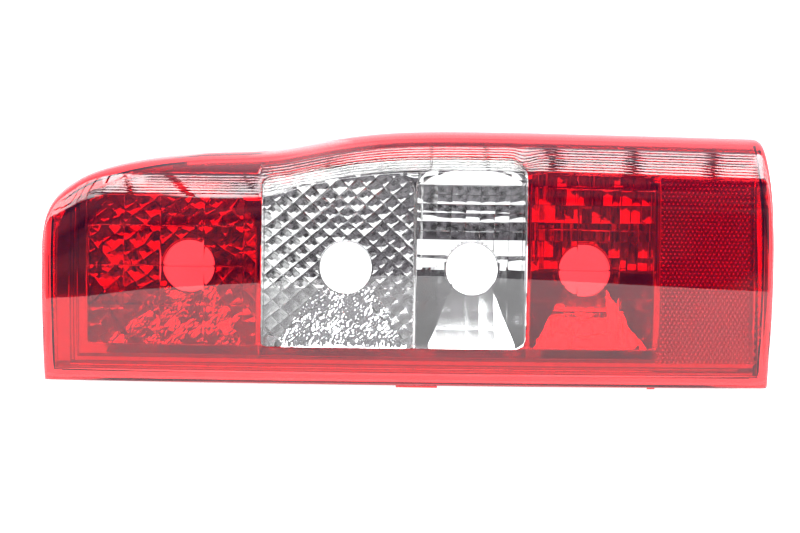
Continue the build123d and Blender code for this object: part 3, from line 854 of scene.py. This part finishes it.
def top_wall():
    # the wall of the reflector above the chambers, behind the ribbed roll; its satin finish is real, its near-black
    # colour is painted shade for the dark interior there
    xs = np.arange(-226.0, 229.0, 3.0)
    zt = np.interp(xs, S, ZT)
    lo, hi = np.interp(xs, S, ZB) - 1.0, zt - np.where(xs > -97.0, 2.4, 1.2)
    lip = face_y(xs, hi) + LENS_T * np.minimum(steep(xs, hi), 3.0) + 2.2
    v, f = [], []
    for a in range(len(xs)):
        sec = [(57.0, lo[a]), (57.0, (lo[a] + hi[a]) / 2), (57.0, hi[a] - 1.0), (56.0, hi[a]), ((56.0 + lip[a]) / 2, hi[a]), (lip[a], hi[a]),
               (lip[a], hi[a] + 0.8), (58.2, hi[a] + 0.8), (58.2, lo[a])]
        v += [W(xs[a], y, z) for y, z in sec]
    m = 9
    for a in range(len(xs) - 1):
        for k in range(m):
            p, q = a * m + k, a * m + (k + 1) % m
            f.append((p, p + m, q + m, q))
    f.append(tuple(range(m)))
    f.append(tuple((len(xs) - 1) * m + k for k in reversed(range(m))))
    ob = new_mesh("reflector_top_wall", v, f, M_SATIN_PAINTED_SHADE, True, 30.0)
    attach(ob, "root")
    return ob


top_wall()
xs = np.arange(-158.0, -97.0, 3.0)
l0, l1 = np.interp(xs, S, ZT) - 0.9, edge_h(xs) - 4.2
v = [W(x, y, z) for x, a, b in zip(xs, l0, l1) for y, z in ((56.0, a), (56.0 + 0.35 * (b - a), b), (56.8 + 0.35 * (b - a), b), (56.8, a))]
f = [(c * 4 + k, c * 4 + 4 + k, c * 4 + 4 + (k + 1) % 4, c * 4 + (k + 1) % 4) for c in range(len(xs) - 1) for k in range(4)]
f += [(0, 1, 2, 3), tuple(len(xs) * 4 - 4 + k for k in (3, 2, 1, 0))]
ob = new_mesh("reflector_flange", v, f, M_PEEN, True, 30.0)
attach(ob, "root")

# ---------------------------------------------------------------- reflex panel: corner cubes on the back of a plate
def reflex():
    p = 2.9
    R = p / math.sqrt(3)
    a = R * math.sqrt(1.5)
    hA, hC = a / math.sqrt(3), 2 * a / math.sqrt(3)
    x0, x1, z0, z1 = 162.6, 229.4, 14.6, 141.0
    verts, faces, key = [], [], {}

    def front(x):
        return 12.5 + x * x / (2 * RX)

    def vert(x, z, d, layer):
        k = (round(x, 3), round(z, 3), layer)
        if k not in key:
            key[k] = len(verts)
            y = front(x) + (0.0 if layer == "f" else 1.3 + d)
            verts.append(W(x, y, z))
        return key[k]

    rowh = p * math.sqrt(3) / 2
    edges = {}
    nr = int((z1 - z0) / rowh)
    for r in range(nr):
        zc = z0 + R + r * rowh
        nc = int((x1 - x0) / p)
        for c in range(nc):
            xc = x0 + p / 2 + c * p + (p / 2 if r % 2 else 0)
            if xc + p / 2 > x1 + 0.1 or zc + R > z1 + 0.1:
                continue
            hexa = []
            for k in range(6):
                an = math.radians(90 + 60 * k)
                hexa.append((xc + R * math.cos(an), zc + R * math.sin(an), hA if k % 2 == 0 else 0.0))
            cc = (xc, zc, hC)
            for k in (0, 2, 4):
                quad = [cc, hexa[k], hexa[(k + 1) % 6], hexa[(k + 2) % 6]]
                bf = [vert(q[0], q[1], q[2], "b") for q in quad]
                ff = [vert(q[0], q[1], q[2], "f") for q in quad]
                faces.append(bf)
                faces.append(ff[::-1])
                for e in range(4):
                    A, B = bf[e], bf[(e + 1) % 4]
                    kk = (min(A, B), max(A, B))
                    edges.setdefault(kk, []).append((A, B, ff[e], ff[(e + 1) % 4]))
    for kk, lst in edges.items():
        if len(lst) == 1:
            A, B, FA, FB = lst[0]
            faces.append((A, B, FB, FA))
    return new_mesh("reflex_prisms", verts, faces, M_REFLEX, True, 20.0)


rp = reflex()
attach(rp, "root")
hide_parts("reflex_panel")

# ---------------------------------------------------------------- finishes of the other pieces
FIN = {"reflector": M_FRAME, "housing": M_ABS, "body_gasket": M_FOAM, "mounting_studs": M_STEEL,
       "reflector_screws": M_STEEL, "breather_caps": M_RUBBER}
for name, mat in FIN.items():
    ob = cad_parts[name]
    ob.data.materials.clear()
    ob.data.materials.append(mat)

# ---------------------------------------------------------------- stage
def emitter(name, color, strength, diffuse=0.8):
    m = bpy.data.materials.new(name)
    nt, b = nodes_of(m)
    n = noise(nt, 3.0)
    r = ramp(nt, n.outputs[0], 0.2, 0.8, (diffuse,) * 3, (diffuse * 0.97,) * 3)
    nt.links.new(r.outputs[0], b.inputs["Base Color"])
    b.inputs["Roughness"].default_value = 0.9
    b.inputs["Emission Color"].default_value = (*color, 1)
    b.inputs["Emission Strength"].default_value = strength
    return m


FLOOR_Z = (FLOOR - 2.95) * MM
EDGE_F = [(-2400.0, 110.0), (-400.0, 150.0), (-310.0, 199.0), (-275.0, 280.0), (-180.0, 392.0), (0.0, 620.0),
          (160.0, 546.0), (410.0, 327.0), (600.0, 250.0), (2400.0, 200.0)]
fx = sorted(set([-2400.0 + 60.0 * k for k in range(81)] + [e[0] for e in EDGE_F]))
fy = spline([e[0] for e in EDGE_F], [e[1] for e in EDGE_F], np.array(fx))
fv = [(x * MM, (APEX - y) * MM, FLOOR_Z) for x, y in zip(fx, fy)] + [(x * MM, 2.6, FLOOR_Z) for x in fx]
nfl = len(fx)
ff = [(k, k + 1, nfl + k + 1, nfl + k) for k in range(nfl - 1)]
floor = new_mesh("studio_floor", fv, ff, emitter("white_table", (1, 1, 1), 0.95, 0.25), False, recalc=False)

# light from all round: bright behind, a long overhead soft box, a dim room in front
world = bpy.data.worlds.new("studio")
scene.world = world
world.use_nodes = True
nt = world.node_tree
nt.nodes.clear()
wo = nt.nodes.new("ShaderNodeOutputWorld")
bg = nt.nodes.new("ShaderNodeBackground")
nt.links.new(bg.outputs[0], wo.inputs[0])
tc = nt.nodes.new("ShaderNodeTexCoord")
sp = nt.nodes.new("ShaderNodeSeparateXYZ")
nt.links.new(tc.outputs["Generated"], sp.inputs[0])


def math_node(op, a, b=None):
    n = nt.nodes.new("ShaderNodeMath")
    n.operation = op
    for k, v in enumerate((a, b)):
        if v is None:
            continue
        if isinstance(v, (int, float)):
            n.inputs[k].default_value = v
        else:
            nt.links.new(v, n.inputs[k])
    return n.outputs[0]


negy = math_node("MULTIPLY", sp.outputs[1], -1.0)
ang = math_node("ARCTAN2", sp.outputs[2], negy)            # 0 to the front, pi/2 overhead, pi to the back
deg0 = math_node("MULTIPLY", ang, 180.0 / math.pi)
# towards the outer end the soft box sits lower and is shorter
lean = nt.nodes.new("ShaderNodeMapRange")
lean.inputs["From Min"].default_value = -0.10
lean.inputs["From Max"].default_value = -0.14
nt.links.new(sp.outputs[0], lean.inputs["Value"])
deg = math_node("ADD", deg0, math_node("MULTIPLY", lean.outputs[0], math_node("ADD", math_node("MULTIPLY", deg0, 0.2), 3.6)))
deg = math_node("MINIMUM", deg, 180.0)
pos = math_node("DIVIDE", math_node("ADD", deg, 180.0), 360.0)
cr = nt.nodes.new("ShaderNodeValToRGB")
nt.links.new(pos, cr.inputs[0])
ROOM = (0.15, 0.138, 0.153)
SOFT = 7.5
BACKL = 3.0
STOPS = [(-180, (BACKL,) * 3), (-100, (BACKL,) * 3), (-90, (0.5,) * 3), (-60, (0.15, 0.15, 0.16)), (0, ROOM), (40, ROOM), (52, ROOM),
         (54, (SOFT,) * 3), (96, (SOFT,) * 3), (98, (0.9,) * 3), (104, (0.9,) * 3), (117, (1.5,) * 3), (150, (1.6,) * 3), (164, (BACKL,) * 3), (180, (BACKL,) * 3)]
MAXV = 16.0
els = cr.color_ramp.elements
while len(els) < len(STOPS):
    els.new(0.5)
for e, (d, v) in zip(els, STOPS):
    e.position = (d + 180.0) / 360.0
    e.color = (v[0] / MAXV, v[1] / MAXV, v[2] / MAXV, 1)
# the soft box has narrow bars across it
away = math_node("SUBTRACT", 2.0, sp.outputs[1])
bars = math_node("ADD", math_node("DIVIDE", sp.outputs[0], away), math_node("MULTIPLY", math_node("DIVIDE", sp.outputs[2], away), 0.010))
fr = math_node("FRACT", math_node("ADD", math_node("DIVIDE", bars, 0.0335), 40.33))
mid = math_node("LESS_THAN", math_node("ABSOLUTE", math_node("ADD", bars, 0.002)), 0.058)
bar = math_node("LESS_THAN", math_node("ABSOLUTE", math_node("SUBTRACT", fr, 0.5)), math_node("SUBTRACT", 0.075, math_node("MULTIPLY", mid, 0.057)))
inbox = math_node("MULTIPLY", math_node("GREATER_THAN", deg, 53.0), math_node("LESS_THAN", deg, 97.0))
dim = math_node("SUBTRACT", 1.0, math_node("MULTIPLY", math_node("MULTIPLY", bar, inbox), 0.97))
core = math_node("MULTIPLY", math_node("LESS_THAN", math_node("ABSOLUTE", sp.outputs[0]), 0.42), inbox)
room = nt.nodes.new("ShaderNodeTexNoise")
room.inputs["Scale"].default_value = 5.0
room.inputs["Detail"].default_value = 3.0
nt.links.new(tc.outputs["Generated"], room.inputs["Vector"])
uneven = nt.nodes.new("ShaderNodeMapRange")
for k, v in (("From Min", 0.38), ("From Max", 0.62), ("To Min", 0.2), ("To Max", 1.85)):
    uneven.inputs[k].default_value = v
nt.links.new(room.outputs[0], uneven.inputs["Value"])
front = math_node("LESS_THAN", math_node("ABSOLUTE", math_node("SUBTRACT", deg, 0.0)), 53.0)
patchy = math_node("ADD", 1.0, math_node("MULTIPLY", front, math_node("SUBTRACT", uneven.outputs[0], 1.0)))
dim = math_node("MULTIPLY", dim, patchy)
gain = math_node("MULTIPLY", math_node("MULTIPLY", dim, math_node("ADD", 1.0, math_node("MULTIPLY", core, 0.85))), MAXV)
lp = nt.nodes.new("ShaderNodeLightPath")
mixs = nt.nodes.new("ShaderNodeMix")
mixs.data_type = "FLOAT"
nt.links.new(lp.outputs["Is Camera Ray"], mixs.inputs[0])
nt.links.new(gain, mixs.inputs[2])
mixs.inputs[3].default_value = 2.0
nt.links.new(mixs.outputs[0], bg.inputs["Strength"])
mixc = nt.nodes.new("ShaderNodeMix")
mixc.data_type = "RGBA"
nt.links.new(lp.outputs["Is Camera Ray"], mixc.inputs[0])
# pale walls at the two sides
side = nt.nodes.new("ShaderNodeMapRange")
side.inputs["From Min"].default_value = 0.40
side.inputs["From Max"].default_value = 0.58
nt.links.new(math_node("MAXIMUM", sp.outputs[0], math_node("SUBTRACT", math_node("MULTIPLY", sp.outputs[0], -1.0), 0.24)), side.inputs["Value"])
wall = nt.nodes.new("ShaderNodeMix")
wall.data_type = "RGBA"
nt.links.new(math_node("MULTIPLY", side.outputs[0], math_node("LESS_THAN", math_node("ABSOLUTE", deg), 54.0)), wall.inputs[0])
nt.links.new(cr.outputs[0], wall.inputs[6])
wall.inputs[7].default_value = (1.0 / MAXV, 1.0 / MAXV, 1.0 / MAXV, 1)
nt.links.new(wall.outputs[2], mixc.inputs[6])
mixc.inputs[7].default_value = (1, 1, 1, 1)
nt.links.new(mixc.outputs[2], bg.inputs["Color"])

# ---------------------------------------------------------------- camera
cd = bpy.data.cameras.new("camera")
cam = bpy.data.objects.new("camera", cd)
scene.collection.objects.link(cam)
cd.lens = 104.65
cd.sensor_width = 36.0
cd.clip_start = 0.05
cam.matrix_world = (Matrix.Translation(W(-5.16, -1500.0, 76.1)) @ Matrix.Rotation(math.radians(90), 4, "X")
                    @ Matrix.Rotation(math.radians(0.73), 4, "Z"))
scene.camera = cam
scene.view_settings.view_transform = "Standard"
scene.cycles.max_bounces = 20
scene.cycles.glossy_bounces = 10
scene.cycles.transmission_bounces = 16
scene.cycles.transparent_max_bounces = 16
